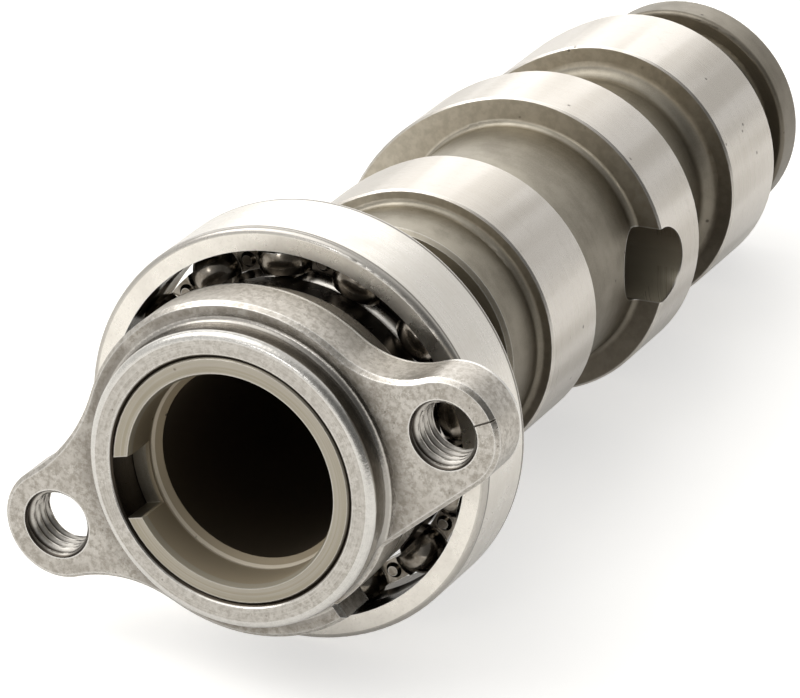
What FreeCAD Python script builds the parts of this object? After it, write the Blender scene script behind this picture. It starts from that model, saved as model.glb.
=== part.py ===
import FreeCAD, Part
import math
import os
import Sketcher

# Three-lobed engine camshaft with its ball bearing and its sprocket flange.
#
# Lengths are millimetres and angles are degrees.  The shaft's axis is Y, from the
# sprocket end (negative) to the far end, and Z is up.  The origin is on the axis, in
# the middle of the bearing.  An angle round the axis is measured from Z towards X.

SIZES = {
    # The ball bearing, a thin deep-groove one of 25 x 42 x 9
    "bearing_bore_radius": 12.5,
    "bearing_width": 9.0,
    "bearing_corner": 0.6,
    "inner_race_wall": 1.82,
    "outer_race_wall": 1.82,
    "inner_groove_depth": 0.88,
    "outer_groove_depth": 0.43,
    "ball_count": 13,
    "ball_radius": 2.38,
    "first_ball_angle": -9.0,
    "race_clearance": 0.05,
    # The riveted ribbon cage
    "cage_inner_gap": 0.45,
    "cage_outer_gap": 0.9,
    "cage_sheet": 0.45,
    "cage_pocket_clearance": 0.1,
    "rivet_radius": 0.5,
    "rivet_head_rim": 0.3,
    "rivet_head_height": 0.35,
    # The sprocket flange
    "hub_length": 4.2,
    "hub_wall": 2.1,
    "plate_thickness": 5.0,
    "plate_rim": 2.0,
    "plate_edge": 0.4,
    "collar_length": 2.8,
    "collar_wall": 2.5,
    "collar_rim": 0.8,
    "collar_foot": 0.6,
    "bore_lead_in": 0.3,
    "ear_reach": 5.15,
    "ear_wall": 2.15,
    "ear_thread_radius": 3.5,
    "right_ear_angle": 67.7,
    "left_ear_angle": -117.3,
    "right_upper_blend": 9.0,
    "left_upper_blend": 18.0,
    "left_lower_blend": 13.0,
    "right_edge_slant": 19.9,
    "relief_rim": 0.4,
    "relief_end_angle": 138.5,
    # The shaft, from its open end to its far end
    "tube_setback": 0.1,
    "tube_chamfer": 0.25,
    "shoulder_width": 3.0,
    "shoulder_height": 1.5,
    "groove_length": 11.4,
    "groove_depth": 1.1,
    "neck_step": 0.5,
    "neck_edge": 0.4,
    "neck_1_length": 6.3,
    "neck_2_length": 14.2,
    "neck_3_length": 12.5,
    "neck_3_depth": 1.65,
    "neck_4_length": 7.6,
    "neck_4_depth": 2.8,
    "neck_fillet": 0.7,
    "neck_3_fillet": 1.6,
    "end_disc_width": 4.0,
    "end_disc_step": 2.3,
    "end_disc_edge": 0.5,
    # The cam lobes: the outer two are alike, apart from their widths
    "lobe_1_width": 10.5,
    "lobe_2_width": 8.8,
    "lobe_3_width": 11.2,
    "lobe_edge": 0.2,
    "outer_base_step": 1.6,
    "outer_lift": 7.2,
    "outer_nose_radius": 6.0,
    "outer_half_angle": 86.0,
    "outer_nose_angle": -110.0,
    "middle_base_step": 3.0,
    "middle_lift": 6.0,
    "middle_nose_radius": 7.0,
    "middle_half_angle": 95.0,
    "middle_nose_angle": -110.5,
    # The bore, the slot in its mouth and the round window in its wall
    "mouth_wall": 1.66,
    "mouth_depth": 4.4,
    "mouth_ledge_flat": 0.19,
    "mouth_ledge_chamfer": 0.85,
    "bore_depth": 34.0,
    "inner_bore_step": 2.3,
    "bore_past_window": 3.35,
    "slot_angle": -106.0,
    "slot_width": 6.2,
    "slot_depth": 4.0,
    "window_radius": 4.0,
    "window_angle": 86.5,
    "window_offset": 0.35,
}

NEAR = 0.001
DRILL_POINT_HALF_ANGLE = 59.0

doc = FreeCAD.newDocument("camshaft")
sheet = doc.addObject("Spreadsheet::Sheet", "sizes")
for row, (alias, size) in enumerate(SIZES.items(), start=1):
    sheet.set(f"A{row}", alias)
    sheet.set(f"B{row}", str(size))
    sheet.setAlias(f"B{row}", alias)
doc.recompute()

# Places along the axis, as sums of the sizes
FLANGE_BACK = "(-sizes.bearing_width / 2)"
PLATE_BACK = f"({FLANGE_BACK} - sizes.hub_length)"
PLATE_FRONT = f"({PLATE_BACK} - sizes.plate_thickness)"
COLLAR_FRONT = f"({PLATE_FRONT} - sizes.collar_length)"
TUBE_FACE = f"({COLLAR_FRONT} + sizes.tube_setback)"
SHOULDER_FRONT = "(sizes.bearing_width / 2)"
GROOVE_START = f"({SHOULDER_FRONT} + sizes.shoulder_width)"
NECK_1 = f"({GROOVE_START} + sizes.groove_length)"
LOBE_1 = f"({NECK_1} + sizes.neck_1_length)"
NECK_2 = f"({LOBE_1} + sizes.lobe_1_width)"
LOBE_2 = f"({NECK_2} + sizes.neck_2_length)"
NECK_3 = f"({LOBE_2} + sizes.lobe_2_width)"
LOBE_3 = f"({NECK_3} + sizes.neck_3_length)"
NECK_4 = f"({LOBE_3} + sizes.lobe_3_width)"
END_DISC = f"({NECK_4} + sizes.neck_4_length)"
SHAFT_END = f"({END_DISC} + sizes.end_disc_width)"

# Radii that rest on one another, from the bearing's bore outwards and inwards
RACE_RADIUS = "(sizes.ball_radius + sizes.race_clearance)"
PITCH_RADIUS = f"(sizes.bearing_bore_radius + sizes.inner_race_wall + {RACE_RADIUS})"
BEARING_RADIUS = f"({PITCH_RADIUS} + {RACE_RADIUS} + sizes.outer_race_wall)"
INNER_SHOULDER = f"({PITCH_RADIUS} - {RACE_RADIUS} + sizes.inner_groove_depth)"
OUTER_SHOULDER = f"({PITCH_RADIUS} + {RACE_RADIUS} - sizes.outer_groove_depth)"
CAGE_INNER = f"({INNER_SHOULDER} + sizes.cage_inner_gap)"
CAGE_OUTER = f"({OUTER_SHOULDER} - sizes.cage_outer_gap)"
HUB_RADIUS = "(sizes.bearing_bore_radius + sizes.hub_wall)"
COLLAR_RADIUS = "(sizes.bearing_bore_radius + sizes.collar_wall)"
PLATE_RADIUS = f"({COLLAR_RADIUS} + sizes.plate_rim)"
RELIEF_RADIUS = f"({COLLAR_RADIUS} + sizes.relief_rim)"
EAR_DISTANCE = f"({PLATE_RADIUS} + sizes.ear_reach)"
EAR_RADIUS = "(sizes.ear_thread_radius + sizes.ear_wall)"
SHOULDER_RADIUS = "(sizes.bearing_bore_radius + sizes.shoulder_height)"
GROOVE_RADIUS = "(sizes.bearing_bore_radius - sizes.groove_depth)"
NECK_RADIUS = "(sizes.bearing_bore_radius + sizes.neck_step)"
NECK_3_RADIUS = f"({NECK_RADIUS} - sizes.neck_3_depth)"
NECK_4_RADIUS = f"({NECK_RADIUS} - sizes.neck_4_depth)"
END_DISC_RADIUS = f"({NECK_4_RADIUS} + sizes.end_disc_step)"
MOUTH_RADIUS = "(sizes.bearing_bore_radius - sizes.mouth_wall)"
LEDGE_RADIUS = f"({MOUTH_RADIUS} - sizes.mouth_ledge_flat)"
BORE_RADIUS = f"({LEDGE_RADIUS} - sizes.mouth_ledge_chamfer)"
INNER_BORE_RADIUS = f"({BORE_RADIUS} - sizes.inner_bore_step)"
WINDOW = f"({LOBE_2} + sizes.window_offset)"
POCKET_RADIUS = "(sizes.ball_radius + sizes.cage_pocket_clearance)"
DOME_RADIUS = f"({POCKET_RADIUS} + sizes.cage_sheet)"
RIVET_ANGLE = "(sizes.first_ball_angle + 180 / sizes.ball_count)"


def value(expression):
    """Value of an expression in the sheet's sizes."""
    return float(sheet.evalExpression(expression))


def origin_feature(body, role):
    """The body's own origin plane or axis of that role."""
    for feature in body.Origin.OriginFeatures:
        if feature.Role == role:
            return feature
    raise ValueError(role)


def new_body(name):
    body = doc.addObject("PartDesign::Body", name)
    body.Label = name
    return body


def new_sketch(body, name, role, offset="0", turn_axis=None, turn="0"):
    """Sketch on an origin plane, moved along its normal and turned about turn_axis."""
    sketch = body.newObject("Sketcher::SketchObject", name)
    sketch.AttachmentSupport = [(origin_feature(body, role), "")]
    sketch.MapMode = "FlatFace"
    if turn_axis is not None:
        turned = FreeCAD.Rotation(turn_axis, value(turn))
        sketch.AttachmentOffset = FreeCAD.Placement(FreeCAD.Vector(), turned)
        sketch.setExpression("AttachmentOffset.Rotation.Angle", turn)
    if offset != "0":
        sketch.setExpression("AttachmentOffset.Base.z", offset)
    return sketch


def lengthwise_sketch(body, name):
    """Sketch whose x is the place along the axis and whose y is the radius."""
    return new_sketch(body, name, "YZ_Plane")


def cross_sketch(body, name, station, angle="0"):
    """Sketch across the axis at a station, whose y points at an angle round the axis."""
    if angle == "0":
        return new_sketch(body, name, "XZ_Plane", f"-({station})")
    return new_sketch(body, name, "XZ_Plane", f"-({station})", FreeCAD.Vector(0, 0, 1), f"-({angle})")


def bind(sketch, kind, geometry, expression):
    """Add a constraint with a value that follows an expression."""
    start = value(expression)
    if kind == "Angle":
        start = math.radians(start)
    index = sketch.addConstraint(Sketcher.Constraint(kind, *geometry, start))
    sketch.setExpression(f"Constraints[{index}]", expression)
    return index


def place_point(sketch, geometry, point, x, y):
    """Fix a point of a sketch at two expressions, or on an axis where one is 0."""
    if x == "0" and y == "0":
        sketch.addConstraint(Sketcher.Constraint("Coincident", geometry, point, -1, 1))
        return
    if x == "0":
        sketch.addConstraint(Sketcher.Constraint("PointOnObject", geometry, point, -2))
    else:
        bind(sketch, "DistanceX", (-1, 1, geometry, point), x)
    if y == "0":
        sketch.addConstraint(Sketcher.Constraint("PointOnObject", geometry, point, -1))
    else:
        bind(sketch, "DistanceY", (-1, 1, geometry, point), y)


def closed_outline(sketch, corners):
    """Closed run of straight lines through corners given as pairs of expressions."""
    points = [FreeCAD.Vector(value(x), value(y), 0) for x, y in corners]
    lines = []
    for number, point in enumerate(points):
        following = points[(number + 1) % len(points)]
        lines.append(sketch.addGeometry(Part.LineSegment(point, following)))
    for number, line in enumerate(lines):
        following = lines[(number + 1) % len(lines)]
        sketch.addConstraint(Sketcher.Constraint("Coincident", line, 2, following, 1))
    for line, (x, y) in zip(lines, corners):
        place_point(sketch, line, 1, x, y)


def circle(sketch, x, y, radius):
    centre = FreeCAD.Vector(value(x), value(y), 0)
    index = sketch.addGeometry(Part.Circle(centre, FreeCAD.Vector(0, 0, 1), value(radius)))
    place_point(sketch, index, 3, x, y)
    bind(sketch, "Radius", (index,), radius)
    return index


def revolve(body, kind, name, sketch):
    """Full turn of a lengthwise sketch about the shaft's axis."""
    feature = body.newObject(f"PartDesign::{kind}", name)
    feature.Profile = sketch
    feature.ReferenceAxis = (sketch, ["H_Axis"])
    feature.Angle = 360.0
    body.Tip = feature
    doc.recompute()
    return feature


def extrude(body, kind, name, sketch, length, reverse):
    feature = body.newObject(f"PartDesign::{kind}", name)
    feature.Profile = sketch
    feature.setExpression("Length", length)
    feature.Reversed = reverse
    body.Tip = feature
    doc.recompute()
    return feature


def edge_feature(body, kind, name, edges, size):
    """Fillet or chamfer on named edges of the body's last feature."""
    base = body.Tip
    feature = body.newObject(f"PartDesign::{kind}", name)
    feature.Base = (base, edges)
    feature.setExpression("Radius" if kind == "Fillet" else "Size", size)
    body.Tip = feature
    doc.recompute()
    return feature


def round_pattern(body, name, originals):
    """The originals repeated once for each ball, evenly round the shaft's axis."""
    pattern = body.newObject("PartDesign::PolarPattern", name)
    pattern.Originals = originals
    pattern.Axis = (origin_feature(body, "Y_Axis"), [""])
    pattern.Angle = 360.0
    pattern.setExpression("Occurrences", "sizes.ball_count")
    body.Tip = pattern
    doc.recompute()
    return pattern


def rings(body, radius, station):
    """Names of the round edges of a radius that lie square to the axis at a station."""
    names = []
    for number, edge in enumerate(body.Tip.Shape.Edges, start=1):
        curve = edge.Curve
        if not isinstance(curve, Part.Circle):
            continue
        centre = curve.Center
        on_axis = math.hypot(centre.x, centre.z) < NEAR
        level = abs(centre.y - value(station)) < NEAR and abs(abs(curve.Axis.y) - 1) < NEAR
        if on_axis and level and abs(curve.Radius - value(radius)) < NEAR:
            names.append(f"Edge{number}")
    return names


def face_edges(body, station, inside):
    """Names of the edges that lie in the plane of a station, outside a radius."""
    names = []
    for number, edge in enumerate(body.Tip.Shape.Edges, start=1):
        box = edge.BoundBox
        level = abs(box.YMin - value(station)) < NEAR and abs(box.YMax - value(station)) < NEAR
        middle = edge.valueAt((edge.FirstParameter + edge.LastParameter) / 2)
        if level and math.hypot(middle.x, middle.z) > value(inside) + NEAR:
            names.append(f"Edge{number}")
    return names


def stepped_outline(steps, start):
    """Corners of a solid of revolution from pairs of length and radius."""
    corners = [(start, "0")]
    here = start
    for length, radius in steps:
        corners.append((here, radius))
        here = f"({here} + {length})"
        corners.append((here, radius))
    corners.append((here, "0"))
    return corners


def lobe_sketch(body, name, station, kind, angle):
    """Cam outline with its nose on y: base circle, two flank arcs and a nose arc.

    Each flank arc holds both circles inside it and touches them, so its radius follows
    from the base circle, the lift, the nose and the half angle of the lift.
    """
    base = f"({NECK_RADIUS} + sizes.{kind}_base_step)"
    nose = f"sizes.{kind}_nose_radius"
    half = f"sizes.{kind}_half_angle"
    nose_out = f"({base} + sizes.{kind}_lift - {nose})"
    excess = f"(({nose_out} ^ 2 - ({base} - {nose}) ^ 2)"
    excess += f" / (2 * ({base} - {nose} - {nose_out} * cos({half}))))"
    flank = f"({base} + {excess})"

    sketch = cross_sketch(body, name, station, angle)
    half_turn = math.radians(value(half))
    shift = value(excess)
    nose_centre = FreeCAD.Vector(0, value(nose_out), 0)
    right_centre = FreeCAD.Vector(-shift * math.sin(half_turn), -shift * math.cos(half_turn), 0)
    left_centre = FreeCAD.Vector(-right_centre.x, right_centre.y, 0)
    nose_turn = math.atan2(nose_centre.y - right_centre.y, nose_centre.x - right_centre.x)
    base_turn = math.pi / 2 - half_turn
    normal = FreeCAD.Vector(0, 0, 1)

    def arc(centre, radius, first, last):
        return sketch.addGeometry(Part.ArcOfCircle(Part.Circle(centre, normal, radius), first, last))

    right = arc(right_centre, value(flank), base_turn, nose_turn)
    tip = arc(nose_centre, value(nose), nose_turn, math.pi - nose_turn)
    left = arc(left_centre, value(flank), math.pi - nose_turn, math.pi - base_turn)
    heel = arc(FreeCAD.Vector(), value(base), math.pi - base_turn, 2 * math.pi + base_turn)
    for first, second in ((right, tip), (tip, left), (left, heel), (heel, right)):
        sketch.addConstraint(Sketcher.Constraint("Tangent", first, 2, second, 1))
    place_point(sketch, heel, 3, "0", "0")
    place_point(sketch, tip, 3, "0", nose_out)
    bind(sketch, "Radius", (heel,), base)
    bind(sketch, "Radius", (tip,), nose)
    bind(sketch, "Radius", (right,), flank)
    bind(sketch, "Radius", (left,), flank)
    return sketch


def add_lobe(body, number, station, end, kind):
    """Cam lobe from a station to the next, with its edges broken."""
    sketch = lobe_sketch(body, f"lobe_{number}_outline", station, kind, f"sizes.{kind}_nose_angle")
    extrude(body, "Pad", f"lobe_{number}", sketch, f"sizes.lobe_{number}_width", True)
    edges = face_edges(body, station, NECK_RADIUS) + face_edges(body, end, NECK_RADIUS)
    edge_feature(body, "Chamfer", f"lobe_{number}_edges", edges, "sizes.lobe_edge")


def make_camshaft():
    """One turned, ground and bored piece: seat, necks, lobes and end disc."""
    body = new_body("camshaft")
    seat = "sizes.bearing_bore_radius"
    seat_length = f"({SHOULDER_FRONT} - {TUBE_FACE} - sizes.tube_chamfer)"
    far_neck = "(sizes.neck_1_length + sizes.lobe_1_width + sizes.neck_2_length + sizes.lobe_2_width)"
    steps = (
        (seat_length, seat),
        ("sizes.shoulder_width", SHOULDER_RADIUS),
        ("sizes.groove_length", GROOVE_RADIUS),
        (far_neck, NECK_RADIUS),
        ("(sizes.neck_3_length + sizes.lobe_3_width)", NECK_3_RADIUS),
        ("sizes.neck_4_length", NECK_4_RADIUS),
        ("sizes.end_disc_width", END_DISC_RADIUS),
    )
    corners = stepped_outline(steps, f"({TUBE_FACE} + sizes.tube_chamfer)")
    mouth = [(TUBE_FACE, "0"), (TUBE_FACE, f"({seat} - sizes.tube_chamfer)")]
    blank = lengthwise_sketch(body, "shaft_outline")
    closed_outline(blank, mouth + corners[1:])
    revolve(body, "Revolution", "shaft_blank", blank)

    add_lobe(body, 1, LOBE_1, NECK_2, "outer")
    add_lobe(body, 2, LOBE_2, NECK_3, "middle")
    add_lobe(body, 3, LOBE_3, NECK_4, "outer")

    neck_feet = rings(body, NECK_RADIUS, LOBE_1)
    neck_feet += rings(body, NECK_RADIUS, NECK_2)
    neck_feet += rings(body, NECK_RADIUS, LOBE_2)
    neck_feet += rings(body, NECK_4_RADIUS, NECK_4)
    neck_feet += rings(body, NECK_4_RADIUS, END_DISC)
    edge_feature(body, "Fillet", "neck_fillets", neck_feet, "sizes.neck_fillet")
    waist_feet = rings(body, NECK_3_RADIUS, NECK_3)
    waist_feet += rings(body, NECK_3_RADIUS, LOBE_3)
    edge_feature(body, "Fillet", "waist_fillets", waist_feet, "sizes.neck_3_fillet")
    disc_rims = rings(body, END_DISC_RADIUS, END_DISC)
    disc_rims += rings(body, END_DISC_RADIUS, SHAFT_END)
    edge_feature(body, "Fillet", "end_disc_rims", disc_rims, "sizes.end_disc_edge")
    neck_front = rings(body, NECK_RADIUS, NECK_1)
    edge_feature(body, "Chamfer", "neck_front_edge", neck_front, "sizes.neck_edge")

    # The bore steps down twice and ends in a drill point
    ledge = f"({TUBE_FACE} + sizes.mouth_depth)"
    ledge_foot = f"({ledge} + sizes.mouth_ledge_chamfer)"
    bore_end = f"({TUBE_FACE} + sizes.bore_depth)"
    inner_end = f"({WINDOW} + sizes.window_radius + sizes.bore_past_window)"
    drill_point = f"({inner_end} + {INNER_BORE_RADIUS} / tan({DRILL_POINT_HALF_ANGLE}))"
    bore = lengthwise_sketch(body, "bore_outline")
    closed_outline(bore, [
        (TUBE_FACE, "0"),
        (TUBE_FACE, MOUTH_RADIUS),
        (ledge, MOUTH_RADIUS),
        (ledge, LEDGE_RADIUS),
        (ledge_foot, BORE_RADIUS),
        (bore_end, BORE_RADIUS),
        (bore_end, INNER_BORE_RADIUS),
        (inner_end, INNER_BORE_RADIUS),
        (drill_point, "0"),
    ])
    revolve(body, "Groove", "bore", bore)

    # The slot goes through the tube's wall at its mouth
    slot = cross_sketch(body, "slot_outline", TUBE_FACE, "sizes.slot_angle")
    half_slot = "(sizes.slot_width / 2)"
    slot_floor = f"({MOUTH_RADIUS} - sizes.mouth_wall)"
    slot_top = "(sizes.bearing_bore_radius + sizes.mouth_wall)"
    closed_outline(slot, [
        (f"-{half_slot}", slot_floor),
        (half_slot, slot_floor),
        (half_slot, slot_top),
        (f"-{half_slot}", slot_top),
    ])
    extrude(body, "Pocket", "slot", slot, "sizes.slot_depth", False)

    # The window runs square to the axis, from the bore to the outside
    turn = "(sizes.window_angle - 90)"
    window = new_sketch(body, "window_outline", "YZ_Plane", "0", FreeCAD.Vector(1, 0, 0), turn)
    circle(window, WINDOW, "0", "sizes.window_radius")
    reach = f"({NECK_RADIUS} + sizes.middle_base_step + sizes.middle_lift)"
    extrude(body, "Pocket", "window", window, reach, True)
    return body


def ring_body(name, corners):
    """Bearing ring turned from a lengthwise outline."""
    body = new_body(name)
    outline = lengthwise_sketch(body, f"{name}_outline")
    closed_outline(outline, corners)
    revolve(body, "Revolution", f"{name}_blank", outline)
    return body


def cut_raceway(body):
    raceway = lengthwise_sketch(body, f"{body.Name}_race_outline")
    circle(raceway, "0", PITCH_RADIUS, RACE_RADIUS)
    revolve(body, "Groove", f"{body.Name}_race", raceway)


def bearing_ends():
    half = "(sizes.bearing_width / 2)"
    return f"-{half}", half


def make_inner_ring():
    front, back = bearing_ends()
    body = ring_body("bearing_inner_ring", [
        (front, "sizes.bearing_bore_radius"),
        (back, "sizes.bearing_bore_radius"),
        (back, INNER_SHOULDER),
        (front, INNER_SHOULDER),
    ])
    cut_raceway(body)
    return body


def make_outer_ring():
    front, back = bearing_ends()
    body = ring_body("bearing_outer_ring", [
        (front, OUTER_SHOULDER),
        (back, OUTER_SHOULDER),
        (back, BEARING_RADIUS),
        (front, BEARING_RADIUS),
    ])
    cut_raceway(body)
    corners = rings(body, BEARING_RADIUS, front)
    corners += rings(body, BEARING_RADIUS, back)
    edge_feature(body, "Fillet", "bearing_outer_ring_corners", corners, "sizes.bearing_corner")
    return body


def ball_sphere(body, kind, name, radius):
    """Sphere of a radius at the first ball's place."""
    sphere = body.newObject(f"PartDesign::{kind}Sphere", name)
    sphere.setExpression("Radius", radius)
    sphere.AttachmentSupport = [(origin_feature(body, "XY_Plane"), "")]
    sphere.MapMode = "FlatFace"
    angle = "sizes.first_ball_angle"
    sphere.setExpression("AttachmentOffset.Base.x", f"{PITCH_RADIUS} * sin({angle})")
    sphere.setExpression("AttachmentOffset.Base.z", f"{PITCH_RADIUS} * cos({angle})")
    body.Tip = sphere
    doc.recompute()
    return sphere


def make_cage_front():
    """Pressed ribbon with a dome over each ball, on the front side of the ball centres."""
    body = new_body("bearing_cage_front")
    outside = f"(-2 * {DOME_RADIUS})"
    behind = f"(2 * {DOME_RADIUS})"
    ribbon = lengthwise_sketch(body, "cage_ribbon_outline")
    closed_outline(ribbon, [
        ("0", CAGE_INNER),
        ("-sizes.cage_sheet", CAGE_INNER),
        ("-sizes.cage_sheet", CAGE_OUTER),
        ("0", CAGE_OUTER),
    ])
    revolve(body, "Revolution", "cage_ribbon", ribbon)
    dome = ball_sphere(body, "Additive", "cage_dome", DOME_RADIUS)
    round_pattern(body, "cage_domes", [dome])

    # What stands out past the band's two edges and into the other half is cut away
    trim = lengthwise_sketch(body, "cage_trim_outline")
    low = f"({PITCH_RADIUS} - 2 * {DOME_RADIUS})"
    high = f"({PITCH_RADIUS} + 2 * {DOME_RADIUS})"
    closed_outline(trim, [
        (behind, low),
        (outside, low),
        (outside, CAGE_INNER),
        ("0", CAGE_INNER),
        ("0", CAGE_OUTER),
        (outside, CAGE_OUTER),
        (outside, high),
        (behind, high),
    ])
    revolve(body, "Groove", "cage_trim", trim)
    pocket = ball_sphere(body, "Subtractive", "cage_pocket", POCKET_RADIUS)
    round_pattern(body, "cage_pockets", [pocket])

    hole = cross_sketch(body, "rivet_hole_outline", "0", RIVET_ANGLE)
    circle(hole, "0", PITCH_RADIUS, "sizes.rivet_radius")
    drilled = extrude(body, "Pocket", "rivet_hole", hole, "2 * sizes.cage_sheet", False)
    drilled.Midplane = True
    round_pattern(body, "rivet_holes", [drilled])
    return body


def make_cage_rear(front):
    """The other half of the cage, which meets the front one face to face."""
    rear = doc.addObject("Part::Mirroring", "bearing_cage_rear")
    rear.Label = "bearing_cage_rear"
    rear.Source = front
    rear.Normal = FreeCAD.Vector(0, 1, 0)
    return rear


def make_rivets():
    """Round-headed rivets through both halves, one between each pair of balls."""
    body = new_body("cage_rivets")
    body.AllowCompound = True
    outline = new_sketch(body, "rivet_outline", "YZ_Plane", "0", FreeCAD.Vector(1, 0, 0), RIVET_ANGLE)
    radius = PITCH_RADIUS
    head = "(sizes.cage_sheet + sizes.rivet_head_height)"
    closed_outline(outline, [
        (f"-{head}", radius),
        (f"-{head}", f"({radius} + sizes.rivet_radius)"),
        ("-sizes.cage_sheet", f"({radius} + sizes.rivet_radius + sizes.rivet_head_rim)"),
        ("-sizes.cage_sheet", f"({radius} + sizes.rivet_radius)"),
        ("sizes.cage_sheet", f"({radius} + sizes.rivet_radius)"),
        ("sizes.cage_sheet", f"({radius} + sizes.rivet_radius + sizes.rivet_head_rim)"),
        (head, f"({radius} + sizes.rivet_radius)"),
        (head, radius),
    ])
    rivet = body.newObject("PartDesign::Revolution", "rivet")
    rivet.Profile = outline
    rivet.ReferenceAxis = (outline, ["Edge8"])
    rivet.Angle = 360.0
    body.Tip = rivet
    doc.recompute()
    round_pattern(body, "rivets", [rivet])
    return body


def make_ball(number):
    ball = doc.addObject("Part::Sphere", f"ball_{number + 1:02d}")
    ball.Label = f"ball_{number + 1:02d}"
    angle = f"(sizes.first_ball_angle + {number} * 360 / sizes.ball_count)"
    ball.setExpression("Radius", "sizes.ball_radius")
    ball.setExpression("Placement.Base.x", f"{PITCH_RADIUS} * sin({angle})")
    ball.setExpression("Placement.Base.z", f"{PITCH_RADIUS} * cos({angle})")
    return ball


def place_of_ear(side):
    """Expressions for the middle of an ear, across and up."""
    angle = f"sizes.{side}_ear_angle"
    return f"({EAR_DISTANCE} * sin({angle}))", f"({EAR_DISTANCE} * cos({angle}))"


def blend_centre(ear, blend, side):
    """Middle of an arc that touches the plate's disc and an ear from outside."""
    far = value(EAR_DISTANCE)
    from_hub = value(PLATE_RADIUS) + blend
    from_ear = value(EAR_RADIUS) + blend
    along = (far ** 2 + from_hub ** 2 - from_ear ** 2) / (2 * far)
    across = math.sqrt(from_hub ** 2 - along ** 2)
    outward = FreeCAD.Vector(ear).normalize()
    sideways = FreeCAD.Vector(-outward.y, outward.x, 0)
    return outward * along + sideways * (across * side)


def turn_of(centre, point):
    return math.atan2(point.y - centre.y, point.x - centre.x)


def arc_between(sketch, centre, start, end):
    """Arc round a centre, counterclockwise from one point to another."""
    first = turn_of(centre, start)
    last = turn_of(centre, end)
    if last < first:
        last += 2 * math.pi
    radius = (start - centre).Length
    whole = Part.Circle(centre, FreeCAD.Vector(0, 0, 1), radius)
    return sketch.addGeometry(Part.ArcOfCircle(whole, first, last))


def towards(centre, target, distance):
    """Point at a distance from a centre, on the way to a target."""
    return centre + (target - centre).normalize() * distance


def plate_outline(body):
    """Two-eared plate: disc, ears, the arcs that blend them and a relief below."""
    sketch = cross_sketch(body, "plate_outline", PLATE_FRONT)
    hub = FreeCAD.Vector()
    disc = value(PLATE_RADIUS)
    ear_radius = value(EAR_RADIUS)
    relief = value(RELIEF_RADIUS)
    right_ear = FreeCAD.Vector(*[value(place) for place in place_of_ear("right")], 0)
    left_ear = FreeCAD.Vector(*[value(place) for place in place_of_ear("left")], 0)
    right_upper = blend_centre(right_ear, value("sizes.right_upper_blend"), 1)
    left_upper = blend_centre(left_ear, value("sizes.left_upper_blend"), -1)
    left_lower = blend_centre(left_ear, value("sizes.left_lower_blend"), 1)

    # The right ear's lower side is straight, at a slant to the line to its middle
    slant_turn = math.radians(90 - value("sizes.right_ear_angle") + value("sizes.right_edge_slant"))
    slant = FreeCAD.Vector(math.cos(slant_turn), math.sin(slant_turn), 0)
    slant_end = right_ear + FreeCAD.Vector(slant.y, -slant.x, 0) * ear_radius
    along = slant_end.dot(slant)
    slant_start = slant_end - slant * (along - math.sqrt(along ** 2 - slant_end.Length ** 2 + relief ** 2))
    step_turn = math.radians(90 - value("sizes.relief_end_angle"))
    step_way = FreeCAD.Vector(math.cos(step_turn), math.sin(step_turn), 0)

    ear_right = arc_between(sketch, right_ear, slant_end, towards(right_ear, right_upper, ear_radius))
    blend_1 = arc_between(
        sketch, right_upper, towards(hub, right_upper, disc), towards(right_ear, right_upper, ear_radius))
    disc_top = arc_between(sketch, hub, towards(hub, right_upper, disc), towards(hub, left_upper, disc))
    blend_2 = arc_between(
        sketch, left_upper, towards(left_ear, left_upper, ear_radius), towards(hub, left_upper, disc))
    ear_left_start = towards(left_ear, left_upper, ear_radius)
    ear_left_end = towards(left_ear, left_lower, ear_radius)
    ear_left = arc_between(sketch, left_ear, ear_left_start, ear_left_end)
    blend_3 = arc_between(
        sketch, left_lower, towards(hub, left_lower, disc), towards(left_ear, left_lower, ear_radius))
    disc_low = arc_between(sketch, hub, towards(hub, left_lower, disc), step_way * disc)
    step = sketch.addGeometry(Part.LineSegment(step_way * disc, step_way * relief))
    relieved = arc_between(sketch, hub, step_way * relief, slant_start)
    edge = sketch.addGeometry(Part.LineSegment(slant_start, slant_end))

    smooth_joints = (
        (edge, 2, ear_right, 1),
        (ear_right, 2, blend_1, 2),
        (blend_1, 1, disc_top, 1),
        (disc_top, 2, blend_2, 2),
        (blend_2, 1, ear_left, 1),
        (ear_left, 2, blend_3, 2),
        (blend_3, 1, disc_low, 1),
    )
    for joint in smooth_joints:
        sketch.addConstraint(Sketcher.Constraint("Tangent", *joint))
    for joint in ((disc_low, 2, step, 1), (step, 2, relieved, 1), (relieved, 2, edge, 1)):
        sketch.addConstraint(Sketcher.Constraint("Coincident", *joint))
    for arc in (disc_top, disc_low, relieved):
        place_point(sketch, arc, 3, "0", "0")
    place_point(sketch, ear_right, 3, *place_of_ear("right"))
    place_point(sketch, ear_left, 3, *place_of_ear("left"))
    sketch.addConstraint(Sketcher.Constraint("PointOnObject", -1, 1, step))
    bind(sketch, "Radius", (disc_top,), PLATE_RADIUS)
    bind(sketch, "Radius", (disc_low,), PLATE_RADIUS)
    bind(sketch, "Radius", (relieved,), RELIEF_RADIUS)
    bind(sketch, "Radius", (ear_right,), EAR_RADIUS)
    bind(sketch, "Radius", (ear_left,), EAR_RADIUS)
    bind(sketch, "Radius", (blend_1,), "sizes.right_upper_blend")
    bind(sketch, "Radius", (blend_2,), "sizes.left_upper_blend")
    bind(sketch, "Radius", (blend_3,), "sizes.left_lower_blend")
    bind(sketch, "Angle", (edge,), "90 - sizes.right_ear_angle + sizes.right_edge_slant")
    bind(sketch, "DistanceX", (-1, 1, step, 1), f"{PLATE_RADIUS} * sin(sizes.relief_end_angle)")
    return sketch


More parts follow.
